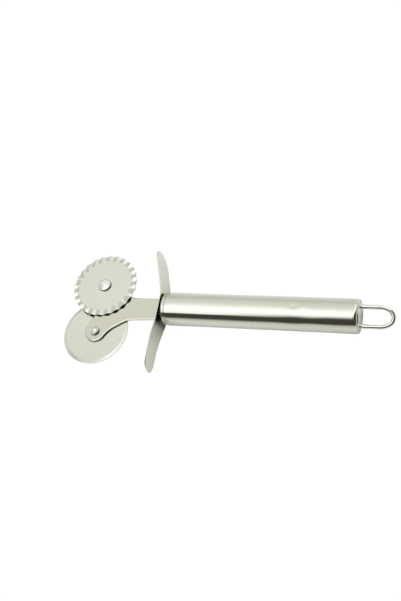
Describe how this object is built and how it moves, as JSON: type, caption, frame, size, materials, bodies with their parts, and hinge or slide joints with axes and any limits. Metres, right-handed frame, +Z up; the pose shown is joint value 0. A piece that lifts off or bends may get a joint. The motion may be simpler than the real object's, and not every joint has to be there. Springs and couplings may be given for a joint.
{
  "type": "pizza wheel",
  "caption": "Hand-held pizza and pastry cutter: a plain cutting wheel and a fluted crimping wheel on a forked arm, with a bent finger guard, tubular handle and wire hanging loop.",
  "frame": {"origin": "on the handle's axis, about the middle of the handle's length", "axes": "+X along the handle towards the hanging loop, +Z up with the cutter lying on a table, +Y to the fluted wheel's side"},
  "size_m": [0.1859, 0.0679, 0.0183],
  "materials": {
    "polished_steel": "polished, lightly drawn along the handle",
    "satin_steel": "satin rolled sheet, deburred edges",
    "wire_steel": "bright drawn wire",
    "rivet_steel": "bright tumbled",
    "core_plastic": "moulded, matt"
  },
  "bodies": {
    "handle_assembly": {"handle_tube": "polished_steel", "front_cap": "polished_steel", "end_cap": "polished_steel", "hanging_loop": "wire_steel", "wheel_arm": "satin_steel", "finger_guard": "satin_steel", "plain_wheel_rivet": "rivet_steel", "fluted_wheel_rivet": "rivet_steel", "plain_wheel_washer": "rivet_steel", "fluted_wheel_spacer": "rivet_steel", "tang_core": "core_plastic", "loop_retainer": "rivet_steel"},
    "plain_wheel_body": {"plain_wheel": "satin_steel"},
    "fluted_wheel_body": {"fluted_wheel": "satin_steel"}
  },
  "joints": [
    {"name": "plain_wheel_spin", "type": "hinge", "parent": "handle_assembly", "child": "plain_wheel_body", "pos_m": [-0.0942, -0.01567, 0.00256], "axis": [0, 0.2385, 0.9711], "continuous": true},
    {"name": "fluted_wheel_spin", "type": "hinge", "parent": "handle_assembly", "child": "fluted_wheel_body", "pos_m": [-0.09481, 0.01268, -0.00171], "axis": [0, 0.2385, 0.9711], "continuous": true}
  ]
}
